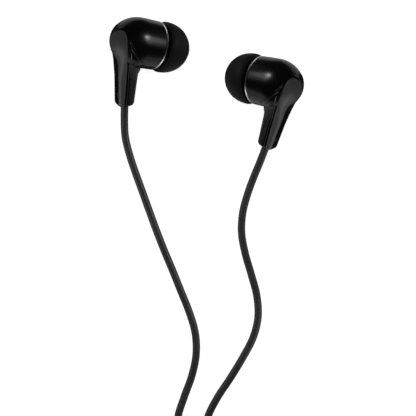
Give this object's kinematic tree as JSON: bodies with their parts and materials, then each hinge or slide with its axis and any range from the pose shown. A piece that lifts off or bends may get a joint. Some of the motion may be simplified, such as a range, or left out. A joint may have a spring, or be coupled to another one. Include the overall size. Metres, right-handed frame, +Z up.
{
  "type": "wired earphones",
  "caption": "Wired in-ear earphones with angled stems, silicone ear tips, a splitter, coiled cord and a jack plug.",
  "frame": {"origin": "middle of the two earphones' box, on the surface that they lie on", "axes": "+X from the left earphone to the right, +Y away from the cords, +Z up"},
  "size_m": [0.0556, 0.1943, 0.0173],
  "materials": {
    "silicone": "satin, slightly soft",
    "mesh": "fine woven screen",
    "damper": "matt acoustic cloth",
    "nozzle_black": "satin",
    "trim": "bright",
    "housing_gloss": "high gloss",
    "stem_gloss": "semi gloss",
    "stem_satin": "satin",
    "brass": "bright",
    "cord": "satin",
    "copper": "enamelled",
    "driver_alloy": "satin",
    "driver_steel": "plated",
    "magnet": "nickel plated",
    "film": "thin clear film",
    "film_ring": "thin clear film",
    "foam": "matt foam",
    "board": "solder mask",
    "tie": "satin",
    "moulding": "satin",
    "core": "matt",
    "contact": "gold plated",
    "insulator": "gloss"
  },
  "bodies": {
    "cord_set": {"left_nozzle_mesh": "mesh", "left_nozzle_damper": "damper", "left_front_shell": "nozzle_black", "left_trim_ring": "trim", "left_rear_shell": "housing_gloss", "left_stem_base": "stem_gloss", "left_stem_cover": "stem_satin", "left_cord_clamp": "brass", "left_cord_end": "cord", "left_leads": "copper", "left_basket": "driver_alloy", "left_yoke": "driver_steel", "left_magnet": "magnet", "left_top_plate": "driver_steel", "left_surround": "film_ring", "left_gasket": "foam", "left_terminal_board": "board", "right_nozzle_mesh": "mesh", "right_nozzle_damper": "damper", "right_front_shell": "nozzle_black", "right_trim_ring": "trim", "right_rear_shell": "housing_gloss", "right_stem_base": "stem_gloss", "right_stem_cover": "stem_satin", "right_cord_clamp": "brass", "right_cord_end": "cord", "right_leads": "copper", "right_basket": "driver_alloy", "right_yoke": "driver_steel", "right_magnet": "magnet", "right_top_plate": "driver_steel", "right_surround": "film_ring", "right_gasket": "foam", "right_terminal_board": "board", "left_cord": "cord", "left_coil": "cord", "left_coil_tie": "tie", "left_lead": "cord", "right_cord": "cord", "right_coil": "cord", "right_coil_tie": "tie", "right_lead": "cord", "splitter_top": "moulding", "splitter_bottom": "moulding", "splitter_core": "core", "trunk_cord": "cord", "trunk_coil": "cord", "trunk_coil_tie": "tie", "trunk_lead": "cord", "plug_grip": "moulding", "plug_sleeve": "contact", "plug_insulators": "insulator", "plug_ring": "contact", "plug_tip": "contact", "plug_core": "contact"},
    "left_tip": {"left_ear_tip": "silicone"},
    "right_tip": {"right_ear_tip": "silicone"},
    "left_cone": {"left_diaphragm": "film"},
    "right_cone": {"right_diaphragm": "film"}
  },
  "joints": [
    {"name": "left_tip_pull", "type": "slide", "parent": "cord_set", "child": "left_tip", "axis": [0.8125, -0.1041, -0.5736], "range_m": [0, 0.0045]},
    {"name": "right_tip_pull", "type": "slide", "parent": "cord_set", "child": "right_tip", "axis": [-0.7941, 0.2009, -0.5736], "range_m": [0, 0.0045]},
    {"name": "left_cone_stroke", "type": "slide", "parent": "cord_set", "child": "left_cone", "axis": [0.8125, -0.1041, -0.5736], "range_m": [-0.0002, 0.0002], "stiffness_N_per_m": 50},
    {"name": "right_cone_stroke", "type": "slide", "parent": "cord_set", "child": "right_cone", "axis": [-0.7941, 0.2009, -0.5736], "range_m": [-0.0002, 0.0002], "stiffness_N_per_m": 50}
  ]
}
